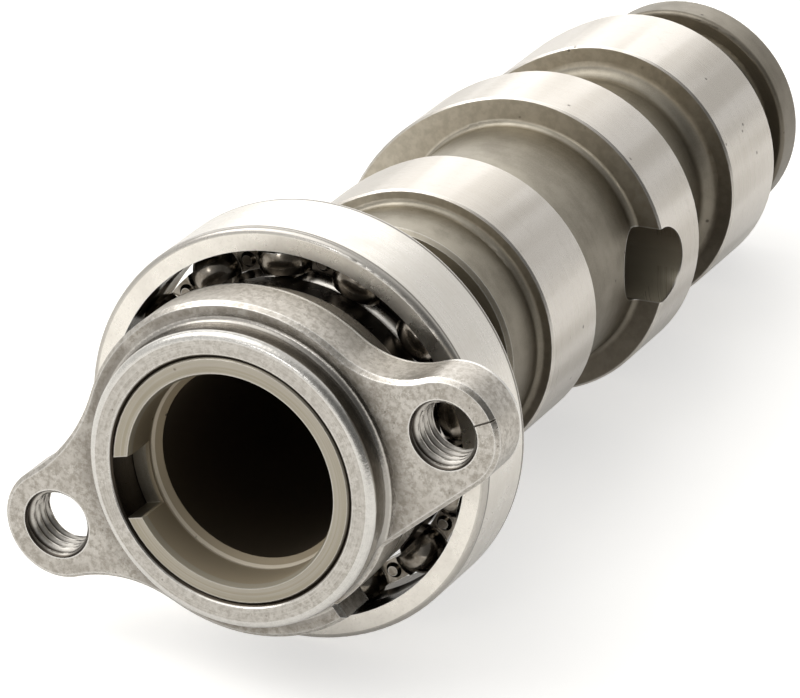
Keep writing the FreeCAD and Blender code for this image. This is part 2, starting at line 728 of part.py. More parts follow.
def make_flange():
    """Sprocket flange: a collar with a rounded rim, a two-eared plate and a hub."""
    body = new_body("sprocket_flange")
    outline = plate_outline(body)
    extrude(body, "Pad", "plate", outline, "sizes.plate_thickness", True)
    rim = face_edges(body, PLATE_FRONT, "0")
    edge_feature(body, "Chamfer", "plate_edges", rim, "sizes.plate_edge")

    turned = lengthwise_sketch(body, "hub_and_collar_outline")
    closed_outline(turned, [
        (COLLAR_FRONT, "0"),
        (COLLAR_FRONT, COLLAR_RADIUS),
        (PLATE_FRONT, COLLAR_RADIUS),
        (PLATE_BACK, COLLAR_RADIUS),
        (PLATE_BACK, HUB_RADIUS),
        (FLANGE_BACK, HUB_RADIUS),
        (FLANGE_BACK, "0"),
    ])
    revolve(body, "Revolution", "hub_and_collar", turned)
    edge_feature(
        body, "Fillet", "collar_foot", rings(body, COLLAR_RADIUS, PLATE_FRONT), "sizes.collar_foot")
    edge_feature(
        body, "Fillet", "collar_rim", rings(body, COLLAR_RADIUS, COLLAR_FRONT), "sizes.collar_rim")

    bore = lengthwise_sketch(body, "flange_bore_outline")
    closed_outline(bore, [
        (COLLAR_FRONT, "0"),
        (COLLAR_FRONT, "(sizes.bearing_bore_radius + sizes.bore_lead_in)"),
        (f"({COLLAR_FRONT} + sizes.bore_lead_in)", "sizes.bearing_bore_radius"),
        (FLANGE_BACK, "sizes.bearing_bore_radius"),
        (FLANGE_BACK, "0"),
    ])
    revolve(body, "Groove", "flange_bore", bore)

    holes = cross_sketch(body, "ear_holes", PLATE_FRONT)
    circle(holes, *place_of_ear("right"), "sizes.ear_thread_radius")
    circle(holes, *place_of_ear("left"), "sizes.ear_thread_radius")
    extrude(body, "Pocket", "tapped_holes", holes, "sizes.plate_thickness", False)
    return body


def check(part):
    """Stop if a sub-part or anything in the document failed."""
    doc.recompute()
    for item in doc.Objects:
        if "Invalid" in item.State or "Error" in item.State:
            raise RuntimeError(f"{item.Name} failed: {item.State}")
    if part.Shape.isNull() or not part.Shape.isValid():
        raise RuntimeError(f"{part.Label} has no valid shape")


parts = [make_camshaft(), make_flange(), make_inner_ring(), make_outer_ring()]
cage_front = make_cage_front()
parts.append(cage_front)
parts.append(make_cage_rear(cage_front))
parts.append(make_rivets())
for number in range(int(SIZES["ball_count"])):
    parts.append(make_ball(number))
doc.recompute()

os.makedirs("parts", exist_ok=True)
for part in parts:
    check(part)
for part in parts:
    part.Shape.exportStep(f"parts/{part.Label}.step")
    solids = part.Shape.Solids
    print(f"{part.Label}: {len(solids)} solid(s), {part.Shape.Volume:.1f} mm3")
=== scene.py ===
import math

import bpy
import numpy as np
from mathutils import Matrix, Vector


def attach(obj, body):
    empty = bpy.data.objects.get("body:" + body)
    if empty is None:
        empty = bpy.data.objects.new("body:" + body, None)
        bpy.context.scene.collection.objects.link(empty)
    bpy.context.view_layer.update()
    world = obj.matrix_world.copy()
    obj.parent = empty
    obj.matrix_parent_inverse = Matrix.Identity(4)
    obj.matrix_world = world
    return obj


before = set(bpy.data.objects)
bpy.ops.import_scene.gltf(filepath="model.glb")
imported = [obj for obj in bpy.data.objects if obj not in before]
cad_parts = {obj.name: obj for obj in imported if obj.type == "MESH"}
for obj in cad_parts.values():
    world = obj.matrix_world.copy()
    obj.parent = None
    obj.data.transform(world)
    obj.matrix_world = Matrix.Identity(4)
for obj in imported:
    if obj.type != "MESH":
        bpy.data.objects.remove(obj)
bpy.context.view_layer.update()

# Lengths are in millimetres until they are multiplied by MM.  The shaft's axis is Y.
# Y runs from the sprocket end to the far end, and Z is up.
MM = 0.001

# Stations along the shaft.  A span is where something starts and where it ends.
COLLAR_FRONT = -16.5
TUBE_FACE = -16.4
PLATE_FRONT = -13.7
SLOT_END = -12.4
LEDGE = -12.0
LEDGE_FOOT = -11.15
PLATE_BACK = -8.7
TUBE_GAP_END = -0.5
BEYOND_RING = 20.0
CHEEK_SPAN = (20.0, 88.0)
LOBE_SPANS = ((25.2, 35.7), (49.9, 58.7), (71.2, 82.4))
WINDOW_START, WINDOW_STEP, WINDOW_END = 45.5, 50.0, 55.5
BORE_LOOK_END = 84.0
END_DISC = 88.5

# Stations on either side of the bearing's middle
RACE_HALF_WIDTH = 4.42
RING_CORNER_STATION = 3.85
RING_LINE_SPAN = (3.68, 3.92)

# Radii from the shaft's axis
BORE_RADIUS = 10.33
LEDGE_RADIUS = 10.70
MOUTH_RADIUS = 10.84
MOUTH_SKIN = 10.95
TUBE_GAP = 12.39
TUBE_OUTER = 12.5
FLANGE_BORE = 12.69
WINDOW_IN_NECK = 12.875
LOBE_FOOT = 13.425
COLLAR_RIM_SPAN = (14.2, 15.05)
COLLAR_SIDE_SPAN = (14.7, 15.4)
COLLAR_FOOT_SPAN = (14.9, 15.9)
COLLAR_OUTER = 15.5
HALO_SPAN = (15.6, 19.0)
WINDOW_IN_LOBE = 15.825
RACE_SPAN = (14.45, 19.25)
RING_CORNER = 20.45
RING_OUTER = 20.825

# The slot in the tube's mouth
SLOT_ANGLE = -106.0
SLOT_WIDTH = 6.2

# The tapped ears, and the line scribed from the right one's hole to its rim
EAR_DISTANCE = 22.15
EAR_ANGLES = {"right": 67.7, "left": -117.3}
EAR_CENTRES = {
    side: (
        EAR_DISTANCE * math.sin(math.radians(angle)),
        EAR_DISTANCE * math.cos(math.radians(angle)))
    for side, angle in EAR_ANGLES.items()
}
EAR_HOLE_RADIUS = 3.5
THREAD_PITCH = 1.0
THREAD_HEIGHT = 0.5
SCRIBE_ANGLE = 62.5
SCRIBE_WIDTH = 0.12

# Steps and overlaps of the meshes made here
SHARP_ANGLE = 40.0
THREAD_TURN_STEPS = 72
THREAD_PITCH_STEPS = 12
THREAD_INSET = 0.06
THREAD_RUN_OUT = 0.7
THREAD_CLEARANCE = 0.03
THREAD_SINK = 0.08
MOUTH_STEPS = 144
LINING_THICKNESS = 0.28
LINING_LIP = 0.03
LINING_CHAMFER = 0.55
LINING_SINK = 0.02
LINING_OVERLAP = 0.01

# Camera, at the photograph's place.  The clipping distances are in metres.
CAMERA_PLACE = Vector((229.0, -478.8, 240.7)) * MM
CAMERA_FORWARD = Vector((-0.3816, 0.8324, -0.4020))
CAMERA_UP = Vector((-0.2033, 0.3486, 0.9149))
LENS = 273.5
SENSOR = 36.0
CLIP_START, CLIP_END = 0.01, 20.0

# Light: a lit room with a dark side, a sweep at the back left, a soft box overhead and two
# lamps.  An edge holds the cosines at which a part of the room starts and is whole.  The
# places and sizes of the lamps are in metres.
ROOM_LEVEL = 0.72
ROOM_COLOUR = (1.0, 0.99, 0.97)
DARK_DROP = 0.58
DARK_WAY = (0.84, -0.50, 0.18)
DARK_EDGE = (0.25, 0.92)
SWEEP_LEVEL = 1.0
SWEEP_WAY = (-0.46, 0.82, 0.34)
SWEEP_EDGE = (0.74, 0.98)
BOX_LEVEL = 1.35
BOX_WAY = (-0.50, -0.32, 0.80)
BOX_EDGE = (0.80, 0.97)
LAMPS = {
    "key": {
        "place": (-0.60, -0.20, 0.60), "target": (0.0, 0.03, -0.01),
        "size": 0.35, "power": 0.8, "colour": (1.0, 0.985, 0.96)},
    "front": {
        "place": (-0.16, -0.95, 0.29), "target": (0.0, 0.0, 0.0),
        "size": 0.18, "power": 0.5, "colour": (1.0, 1.0, 1.0)},
}

# Floor.  FLOOR_HALF is in metres, and FLOOR_ROUNDS is how often its slope is refined.
FLOOR_HALF = 4.0
FLOOR_COLOUR = (0.79, 0.78, 0.76)
FLOOR_SHADE = (0.76, 0.75, 0.725)
FLOOR_MOTTLE = 6.0
FLOOR_GLOW = 0.55
FLOOR_GLOW_REFLECTED = 0.45
FLOOR_ROUNDS = 20

# Colours of the shaft
GROUND = (0.645, 0.61, 0.565)
GROUND_WORN = (0.50, 0.465, 0.415)
GROUND_BRIGHT = (0.73, 0.70, 0.66)
NECK = (0.35, 0.32, 0.262)
NECK_DARK = (0.265, 0.24, 0.192)
NECK_BRIGHT = (0.44, 0.405, 0.345)
CHEEK = (0.57, 0.52, 0.43)
CHEEK_DARK = (0.47, 0.425, 0.345)
BORE = (0.34, 0.285, 0.20)
BORE_DEEP = (0.17, 0.138, 0.10)
WINDOW = (0.44, 0.40, 0.31)
FACE = (0.37, 0.335, 0.262)
# Painted highlight on the ledge in the mouth
LEDGE_HIGHLIGHT = (0.62, 0.56, 0.46)

# Colours of the flange
CAST = (0.585, 0.553, 0.507)
CAST_DARK = (0.37, 0.34, 0.297)
CAST_BRIGHT = (0.68, 0.66, 0.63)
CAST_STAIN = (0.40, 0.37, 0.33)
TURNED = (0.66, 0.64, 0.60)
SPECK = (0.16, 0.14, 0.12)
# Painted shade on the collar's side wall
COLLAR_SIDE_SHADE = (0.19, 0.172, 0.145)
COLLAR_FOOT = (0.50, 0.48, 0.45)
# Painted shade on the hub between the plate and the ring
HUB_SHADE = (0.15, 0.135, 0.115)
SCRIBED = (0.08, 0.07, 0.06)

# Colours of the bearing and the threads
RING = (0.84, 0.81, 0.765)
RING_SHADE = (0.73, 0.70, 0.645)
RING_FACE = (0.93, 0.89, 0.82)
RING_GRAIN = (0.62, 0.585, 0.52)
RING_STAIN = (0.66, 0.62, 0.56)
BALL = (0.54, 0.505, 0.45)
BALL_OILY = (0.32, 0.285, 0.235)
CAGE = (0.33, 0.30, 0.26)
CAGE_OILY = (0.15, 0.128, 0.10)
# Painted highlight on the cage's edges
CAGE_EDGE_HIGHLIGHT = (0.82, 0.81, 0.78)
THREAD = (0.64, 0.615, 0.57)
THREAD_DULL = (0.52, 0.49, 0.45)
# Painted shade in the thread's roots
THREAD_ROOT_SHADE = (0.07, 0.06, 0.05)

# Colours of what lies on the metals, and of painted shade and painted highlights
# Grime in pits and in the joint by the tube, and painted shade in the flange's bore, the race
# and on the outer ring's corner
GRIME_AND_SHADE = (0.055, 0.045, 0.035)
# Dark brown, laid as painted shade low on the right and round the collar's foot, and on the far
# end
DARK_BROWN = (0.085, 0.07, 0.052)
# Lighter edges, partly wear and partly painted highlight
RUBBED_AND_HIGHLIGHT = (0.84, 0.83, 0.80)


def make_camera():
    forward = CAMERA_FORWARD.normalized()
    right = forward.cross(CAMERA_UP).normalized()
    up = right.cross(forward)
    data = bpy.data.cameras.new("camera")
    data.lens = LENS
    data.sensor_width = SENSOR
    data.clip_start = CLIP_START
    data.clip_end = CLIP_END
    camera = bpy.data.objects.new("camera", data)
    bpy.context.scene.collection.objects.link(camera)
    turn = Matrix((right, up, -forward)).transposed().to_4x4()
    camera.matrix_world = Matrix.Translation(CAMERA_PLACE) @ turn
    bpy.context.scene.camera = camera


class Graph:
    """Node tree of a material or of the world, with short calls for the nodes used here.

    A mask is one where something holds and nought where it doesn't.
    """

    def __init__(self, tree):
        self.tree = tree
        self.tree.nodes.clear()

    def node(self, kind, **settings):
        made = self.tree.nodes.new(kind)
        for key, setting in settings.items():
            setattr(made, key, setting)
        return made

    def put(self, socket, source):
        """Link a socket, or write a plain value on it."""
        if isinstance(source, bpy.types.NodeSocket):
            self.tree.links.new(source, socket)
        elif isinstance(source, tuple) and len(source) == 3 and socket.type == "RGBA":
            socket.default_value = (*source, 1.0)
        else:
            socket.default_value = source

    def math(self, operation, first, second=0.0, third=0.0):
        made = self.node("ShaderNodeMath", operation=operation)
        for socket, source in zip(made.inputs, (first, second, third)):
            self.put(socket, source)
        return made.outputs[0]

    def chain(self, operation, sources):
        result = sources[0]
        for source in sources[1:]:
            result = self.math(operation, result, source)
        return result

    def total(self, *sources):
        return self.chain("ADD", sources)

    def product(self, *sources):
        """Where all of the masks hold, or a share of a mask."""
        return self.chain("MULTIPLY", sources)

    def most(self, *sources):
        """Where any of the masks holds."""
        return self.chain("MAXIMUM", sources)

    def less(self, first, second):
        return self.math("SUBTRACT", first, second)

    def outside(self, mask):
        return self.less(1.0, mask)

    def smooth(self, source, start, end, low=0.0, high=1.0):
        """Soft step from low at start to high at end."""
        made = self.node("ShaderNodeMapRange", interpolation_type="SMOOTHSTEP")
        for name, given in (("Value", source), ("From Min", start), ("From Max", end)):
            self.put(made.inputs[name], given)
        self.put(made.inputs["To Min"], low)
        self.put(made.inputs["To Max"], high)
        return made.outputs["Result"]

    def above(self, source, level, blur):
        return self.smooth(source, level - blur, level + blur)

    def below(self, source, level, blur):
        return self.smooth(source, level + blur, level - blur)

    def between(self, source, low, high, blur=0.02):
        down = self.smooth(source, high - blur, high + blur, 1.0, 0.0)
        return self.product(self.above(source, low, blur), down)

    def mix(self, factor, first, second):
        """Colour between two others."""
        made = self.node("ShaderNodeMix", data_type="RGBA")
        self.put(made.inputs[0], factor)
        self.put(made.inputs[6], first)
        self.put(made.inputs[7], second)
        return made.outputs[2]

    def blend(self, factor, first, second):
        """Number between two others."""
        made = self.node("ShaderNodeMix", data_type="FLOAT")
        self.put(made.inputs[0], factor)
        self.put(made.inputs[2], first)
        self.put(made.inputs[3], second)
        return made.outputs[0]

    def towards(self, way, direction):
        """How far a direction leans towards another, as a cosine."""
        made = self.node("ShaderNodeVectorMath", operation="DOT_PRODUCT")
        self.put(made.inputs[0], way)
        made.inputs[1].default_value = Vector(direction).normalized()
        return made.outputs["Value"]

    def vector(self, x, y, z):
        made = self.node("ShaderNodeCombineXYZ")
        for socket, source in zip(made.inputs, (x, y, z)):
            self.put(socket, source)
        return made.outputs[0]

    def split(self, source):
        made = self.node("ShaderNodeSeparateXYZ")
        self.put(made.inputs[0], source)
        return made.outputs

    def noise(self, place, scale, detail, roughness=0.5):
        made = self.node("ShaderNodeTexNoise")
        self.put(made.inputs["Vector"], place)
        made.inputs["Scale"].default_value = scale
        made.inputs["Detail"].default_value = detail
        made.inputs["Roughness"].default_value = roughness
        return made.outputs["Fac"]


class Metal(Graph):
    """Metal whose looks follow the place on the shaft, measured in millimetres."""

    def __init__(self, name):
        self.material = bpy.data.materials.new(name)
        self.material.use_nodes = True
        super().__init__(self.material.node_tree)
        output = self.node("ShaderNodeOutputMaterial")
        self.shader = self.node("ShaderNodeBsdfPrincipled")
        self.tree.links.new(self.shader.outputs[0], output.inputs[0])
        coordinates = self.node("ShaderNodeTexCoord")
        scaled = self.node("ShaderNodeVectorMath", operation="SCALE")
        self.put(scaled.inputs[0], coordinates.outputs["Object"])
        scaled.inputs["Scale"].default_value = 1.0 / MM
        self.place = scaled.outputs[0]
        self.x, self.y, self.z = self.split(self.place)
        squares = self.total(self.math("POWER", self.x, 2.0), self.math("POWER", self.z, 2.0))
        self.radius = self.math("SQRT", squares)
        self.round_x = self.math("DIVIDE", self.x, self.radius)
        self.round_z = self.math("DIVIDE", self.z, self.radius)
        facing = self.math("ABSOLUTE", self.split(coordinates.outputs["Normal"])[1])
        self.flat = self.smooth(facing, 0.9, 0.97)
        self.side = self.outside(self.flat)

    def distance_from(self, centre):
        """Distance from a line along the axis through a centre across and up."""
        across = self.less(self.x, centre[0])
        up = self.less(self.z, centre[1])
        squares = self.total(self.product(across, across), self.product(up, up))
        return self.math("SQRT", squares)

    def scribed(self, centre, angle, width):
        """Mask of a thin line on the plate, from a centre out at an angle round it from Z."""
        way = (math.sin(math.radians(angle)), math.cos(math.radians(angle)))
        across = self.less(self.x, centre[0])
        up = self.less(self.z, centre[1])
        aside = self.less(self.product(across, way[1]), self.product(up, way[0]))
        out = self.total(self.product(across, way[0]), self.product(up, way[1]))
        near = self.smooth(self.math("ABSOLUTE", aside), width * 0.5, width, 1.0, 0.0)
        front = self.below(self.y, PLATE_FRONT + 0.4, blur=0.1)
        return self.product(near, self.smooth(out, 0.0, 0.2), front)

    def patches(self, scale, detail, roughness):
        """Noise that lies on the metal, with its scale in patches a millimetre."""
        return self.noise(self.place, scale, detail, roughness)

    def tool_lines(self, spacing, length, slant=1.7):
        """Noise drawn out round the axis, as a lathe or a grinder leaves it.

        spacing is the distance between lines, and length how far one runs, both in
        millimetres.
        """
        level = self.math("MULTIPLY_ADD", self.radius, slant, self.y)
        reach = TUBE_OUTER / length
        place = self.vector(
            self.product(self.round_x, reach),
            self.math("DIVIDE", level, spacing),
            self.product(self.round_z, reach))
        return self.noise(place, scale=1.0, detail=3.0, roughness=0.6)

    def bands(self, width):
        """Soft bands that lie along the axis, as a cam grinder leaves them."""
        reach = TUBE_OUTER / width
        place = self.vector(
            self.product(self.round_x, reach),
            self.product(self.y, 0.02),
            self.product(self.round_z, reach))
        return self.noise(place, scale=1.0, detail=1.0)

    def pits(self, scale, size):
        """Mask of a few small round pits."""
        made = self.node("ShaderNodeTexVoronoi")
        self.put(made.inputs["Vector"], self.place)
        made.inputs["Scale"].default_value = scale
        spots = self.smooth(made.outputs["Distance"], size * 0.5, size, 1.0, 0.0)
        chosen = self.smooth(self.noise(self.place, scale * 0.8, detail=1.0), 0.54, 0.60)
        return self.product(spots, chosen)

    def edges(self, width):
        """Mask of places near an edge, from the surface's slope round about."""
        bevel = self.node("ShaderNodeBevel", samples=6)
        bevel.inputs["Radius"].default_value = width * MM
        geometry = self.node("ShaderNodeNewGeometry")
        dot = self.node("ShaderNodeVectorMath", operation="DOT_PRODUCT")
        self.put(dot.inputs[0], bevel.outputs[0])
        self.put(dot.inputs[1], geometry.outputs["Normal"])
        return self.smooth(dot.outputs["Value"], 0.995, 0.93)

    def relief(self, *layers):
        """Bump from layers, each a height of nought to one and then a depth in millimetres."""
        made = self.node("ShaderNodeBump")
        made.inputs["Strength"].default_value = 1.0
        made.inputs["Distance"].default_value = MM
        height = self.total(*[self.product(*layer) for layer in layers])
        self.put(made.inputs["Height"], height)
        return made.outputs[0]

    def finish(self, colour, roughness, normal, anisotropic=0.0, metallic=1.0):
        self.put(self.shader.inputs["Base Color"], colour)
        self.put(self.shader.inputs["Roughness"], roughness)
        self.put(self.shader.inputs["Normal"], normal)
        self.put(self.shader.inputs["Metallic"], metallic)
        if anisotropic:
            self.shader.inputs["Anisotropic"].default_value = anisotropic
            tangent = self.node("ShaderNodeTangent", direction_type="RADIAL", axis="Y")
            self.put(self.shader.inputs["Tangent"], tangent.outputs[0])
        return self.material


class Layers:
    """Colour built up by laying one shade over another, where masks hold."""

    def __init__(self, metal, factor, first, second):
        self.metal = metal
        self.colour = metal.mix(factor, first, second)

    def lay(self, shade, *masks, share=None):
        shares = masks if share is None else (*masks, share)
        self.colour = self.metal.mix(self.metal.product(*shares), self.colour, shade)


def shaft_material():
    """Ground lobes; dull turned necks and cheeks; a brown bore with a painted highlight on its
    ledge; painted shade.
    """
    metal = Metal("shaft_steel")
    lobes = metal.total(*[metal.between(metal.y, *span) for span in LOBE_SPANS])
    ground = metal.product(lobes, metal.above(metal.radius, LOBE_FOOT, blur=0.075), metal.side)
    cheek = metal.product(metal.flat, metal.between(metal.y, *CHEEK_SPAN, blur=0.5))
    bore = metal.product(
        metal.below(metal.radius, BORE_RADIUS, blur=0.03),
        metal.below(metal.y, BORE_LOOK_END, blur=4.0))
    mouth = metal.product(
        metal.below(metal.radius, MOUTH_SKIN, blur=0.05),
        metal.between(metal.y, TUBE_FACE + 0.05, LEDGE_FOOT + 0.05))
    lead_in = metal.smooth(metal.y, TUBE_FACE + 0.65, TUBE_FACE + 0.5)
    # Painted highlight on the rounded ledge in the mouth
    ledge = metal.product(
        metal.between(metal.radius, BORE_RADIUS, LEDGE_RADIUS, blur=0.03),
        metal.above(metal.y, LEDGE - 0.2, blur=0.1))
    face = metal.product(metal.flat, metal.below(metal.y, TUBE_FACE + 0.4, blur=0.1))
    gap = metal.product(
        metal.above(metal.radius, TUBE_GAP, blur=0.05),
        metal.below(metal.y, TUBE_GAP_END, blur=0.5))
    near_window = metal.product(
        metal.between(metal.y, WINDOW_START, WINDOW_STEP),
        metal.below(metal.radius, WINDOW_IN_NECK, blur=0.075))
    far_window = metal.product(
        metal.between(metal.y, WINDOW_STEP, WINDOW_END),
        metal.below(metal.radius, WINDOW_IN_LOBE, blur=0.075))
    window = metal.most(near_window, far_window)
    unground = metal.outside(metal.most(metal.product(lobes, metal.side), window))
    # Painted shade: off the ground lobes the shaft turns darker towards its lower right, the
    # cheeks most
    lower_right = metal.less(
        metal.product(metal.round_x, 0.85), metal.product(metal.round_z, 0.53))
    darkening = metal.smooth(lower_right, -0.15, 1.0)

    fine = metal.tool_lines(spacing=0.05, length=9.0)
    coarse = metal.tool_lines(spacing=0.35, length=25.0)
    bands = metal.bands(width=3.2)
    mottle = metal.patches(scale=0.22, detail=4.0, roughness=0.6)
    blotch = metal.patches(scale=0.9, detail=3.0, roughness=0.65)
    grain = metal.patches(scale=9.0, detail=2.0, roughness=0.6)
    pits = metal.pits(scale=0.42, size=0.10)
    edges = metal.edges(width=0.22)

    on_ground = Layers(metal, metal.smooth(bands, 0.38, 0.62), GROUND_WORN, GROUND)
    on_ground.lay(GROUND_BRIGHT, metal.smooth(fine, 0.3, 0.7), share=0.35)
    on_ground.lay(GROUND_WORN, metal.smooth(blotch, 0.5, 0.75), share=0.25)
    on_cheek = metal.mix(metal.smooth(blotch, 0.35, 0.65), CHEEK_DARK, CHEEK)
    on_face = metal.mix(metal.smooth(coarse, 0.35, 0.65), FACE, NECK_BRIGHT)
    # Painted shade in the window: dark, lighter at the bottom of its far part
    low_in_window = metal.product(far_window, metal.smooth(metal.z, 4.5, -3.5))
    window_painted_shade = metal.mix(low_in_window, BORE_DEEP, WINDOW)
    in_mouth = Layers(metal, lead_in, BORE, FACE)
    in_mouth.lay(LEDGE_HIGHLIGHT, ledge)

    layers = Layers(metal, metal.smooth(mottle, 0.35, 0.65), NECK_DARK, NECK)
    layers.lay(NECK_BRIGHT, metal.smooth(coarse, 0.35, 0.7), share=0.18)
    layers.lay(NECK_BRIGHT, metal.smooth(grain, 0.4, 0.7), share=0.35)
    layers.lay(on_ground.colour, ground)
    layers.lay(on_cheek, cheek)
    # Painted shade towards the lower right
    layers.lay(DARK_BROWN, darkening, unground, metal.blend(cheek, 0.45, 0.72))
    # The far end is darker
    layers.lay(DARK_BROWN, metal.above(metal.y, END_DISC, blur=0.5), unground, share=0.35)
    layers.lay(on_face, face)
    layers.lay(BORE_DEEP, bore)
    # Painted shade in the window
    layers.lay(window_painted_shade, window)
    layers.lay(in_mouth.colour, mouth)
    layers.lay(GRIME_AND_SHADE, pits, share=0.7)
    # Edges lighter: partly wear, partly painted highlight
    layers.lay(RUBBED_AND_HIGHLIGHT, edges, metal.outside(mouth), share=0.5)
    layers.lay(GRIME_AND_SHADE, gap)

    neck_rough = metal.smooth(mottle, 0.3, 0.7, 0.46, 0.38)
    ground_rough = metal.smooth(fine, 0.25, 0.75, 0.25, 0.34)
    rough = metal.blend(ground, neck_rough, ground_rough)
    rough = metal.blend(metal.most(bore, mouth), rough, 0.6)
    low = metal.smooth(metal.round_z, 0.3, -0.8, 0.3, 0.75)
    dull = metal.most(
        metal.product(mouth, low), metal.product(bore, 0.1), metal.product(window, 0.6))
    normal = metal.relief(
        (grain, metal.outside(ground), 0.006),
        (fine, 0.0015),
        (bands, ground, 0.02),
        (pits, -0.02))
    return metal.finish(
        layers.colour, rough, normal, anisotropic=0.35, metallic=metal.outside(dull))


def flange_material():
    """Cast steel, blasted and mottled; edges lighter from wear and painted highlights; painted
    shade in its corners.
    """
    metal = Metal("flange_steel")
    # Painted shade in the flange's bore
    inside = metal.below(metal.radius, FLANGE_BORE, blur=0.05)
    collar = metal.product(
        metal.below(metal.radius, COLLAR_OUTER, blur=0.1),
        metal.below(metal.y, PLATE_FRONT, blur=0.1))
    # Painted highlight on the collar's rim
    rim = metal.product(
        metal.between(metal.radius, *COLLAR_RIM_SPAN),
        metal.below(metal.y, COLLAR_FRONT + 0.725, blur=0.075))
    # Painted shade on the collar's side wall
    skin = metal.product(
        metal.between(metal.radius, *COLLAR_SIDE_SPAN),
        metal.between(metal.y, COLLAR_FRONT + 0.75, PLATE_FRONT, blur=0.1),
        metal.side)
    foot = metal.product(
        metal.between(metal.radius, *COLLAR_FOOT_SPAN, blur=0.15),
        metal.between(metal.y, PLATE_FRONT - 0.7, PLATE_FRONT + 0.1, blur=0.1))
    # Painted shade on the plate's face round the collar's foot, patchy
    halo = metal.product(
        metal.smooth(metal.radius, HALO_SPAN[1], HALO_SPAN[0]),
        metal.smooth(metal.radius, COLLAR_OUTER, HALO_SPAN[0]),
        metal.flat,
        metal.below(metal.y, PLATE_FRONT + 0.2, blur=0.1))
    # Painted highlight along the plate's back edge
    back_edge = metal.product(
        metal.between(metal.y, PLATE_BACK - 0.32, PLATE_BACK + 0.02, blur=0.04), metal.side)
    # Painted shade on the hub behind the plate
    hub = metal.product(metal.above(metal.y, PLATE_BACK, blur=0.1), metal.side)
    # Painted highlight on the collar's rim and the plate's back edge
    painted_highlight = metal.most(metal.product(rim, 0.55), metal.product(back_edge, 0.8))
    scribe = metal.scribed(EAR_CENTRES["right"], SCRIBE_ANGLE, SCRIBE_WIDTH)

    clots = metal.patches(scale=1.7, detail=4.0, roughness=0.7)
    grain = metal.patches(scale=5.0, detail=3.0, roughness=0.65)
    mottle = metal.patches(scale=0.30, detail=3.0, roughness=0.6)
    lines = metal.tool_lines(spacing=0.12, length=14.0)
    specks = metal.pits(scale=1.1, size=0.16)
    edges = metal.edges(width=0.3)

    layers = Layers(metal, metal.smooth(clots, 0.38, 0.60), CAST_DARK, CAST)
    layers.lay(CAST_BRIGHT, metal.smooth(grain, 0.45, 0.75), share=0.5)
    layers.lay(CAST_STAIN, metal.smooth(mottle, 0.40, 0.68), share=0.45)
    layers.lay(TURNED, metal.smooth(lines, 0.35, 0.7), collar, share=0.6)
    layers.lay(SPECK, specks, share=0.6)
    # Edges lighter: partly wear, partly painted highlight
    layers.lay(RUBBED_AND_HIGHLIGHT, edges, share=0.85)
    # Painted highlight on the collar's rim and the plate's back edge
    layers.lay(RUBBED_AND_HIGHLIGHT, painted_highlight)
    # Painted shade on the collar's side wall
    layers.lay(COLLAR_SIDE_SHADE, skin, share=0.85)
    layers.lay(COLLAR_FOOT, foot, share=0.6)
    # Painted shade on the hub behind the plate
    layers.lay(HUB_SHADE, hub, share=0.8)
    # Painted shade round the collar's foot
    layers.lay(DARK_BROWN, halo, metal.smooth(mottle, 0.25, 0.6, 0.25, 0.55))
    # Painted shade in the flange's bore
    layers.lay(GRIME_AND_SHADE, inside)
    layers.lay(SCRIBED, scribe)

    rough = metal.smooth(grain, 0.3, 0.7, 0.36, 0.27)
    rough = metal.blend(metal.most(metal.product(edges, 0.9), painted_highlight), rough, 0.16)
    rough = metal.blend(metal.most(skin, foot), rough, 0.18)
    normal = metal.relief((clots, 0.03), (grain, 0.012), (lines, collar, 0.004), (scribe, -0.06))
    return metal.finish(layers.colour, rough, normal)


def ring_material():
    """Ground bearing rings, bright outside, dark round the race from oil and painted shade."""
    metal = Metal("ring_steel")
    fine = metal.tool_lines(spacing=0.06, length=12.0)
    grain = metal.patches(scale=3.5, detail=3.0, roughness=0.65)
    mottle = metal.patches(scale=0.3, detail=4.0, roughness=0.6)
    # Dark round the race: partly oil, partly painted shade
    race = metal.product(
        metal.between(metal.radius, *RACE_SPAN, blur=0.05),
        metal.between(metal.y, -RACE_HALF_WIDTH, RACE_HALF_WIDTH, blur=0.03))
    from_middle = metal.math("ABSOLUTE", metal.y)
    # Painted shade: a dark line round the outer ring near its faces, and darker outer corners
    line = metal.product(
        metal.above(metal.radius, RING_OUTER, blur=0.025),
        metal.between(from_middle, *RING_LINE_SPAN, blur=0.05))
    corner = metal.product(
        metal.above(metal.radius, RING_CORNER, blur=0.05),
        metal.above(from_middle, RING_CORNER_STATION, blur=0.05))

    layers = Layers(metal, metal.smooth(fine, 0.3, 0.7), RING_SHADE, RING)
    layers.lay(RING_FACE, metal.flat)
    layers.lay(RING_GRAIN, metal.smooth(grain, 0.5, 0.75), share=0.3)
    layers.lay(RING_STAIN, metal.smooth(mottle, 0.4, 0.7), share=0.3)
    # Edges lighter: partly wear, partly painted highlight
    layers.lay(RUBBED_AND_HIGHLIGHT, metal.edges(width=0.2), share=0.5)
    # Dark round the race: partly oil, partly painted shade
    layers.lay(GRIME_AND_SHADE, race, share=0.92)
    # Painted shade on the outer ring's corners and along its dark line
    layers.lay(GRIME_AND_SHADE, corner, share=0.35)
    layers.lay(GRIME_AND_SHADE, line, share=0.75)
    rough = metal.smooth(mottle, 0.3, 0.7, 0.24, 0.34)
    normal = metal.relief((fine, 0.001), (grain, 0.0008))
    return metal.finish(layers.colour, rough, normal, anisotropic=0.3)


def ball_material():
    """Polished balls with a thin film of dark oil."""
    metal = Metal("ball_steel")
    darkening = metal.patches(scale=0.8, detail=3.0, roughness=0.6)
    colour = metal.mix(metal.smooth(darkening, 0.35, 0.7), BALL, BALL_OILY)
    rough = metal.smooth(darkening, 0.3, 0.7, 0.06, 0.13)
    return metal.finish(colour, rough, metal.relief((darkening, 0.002)))


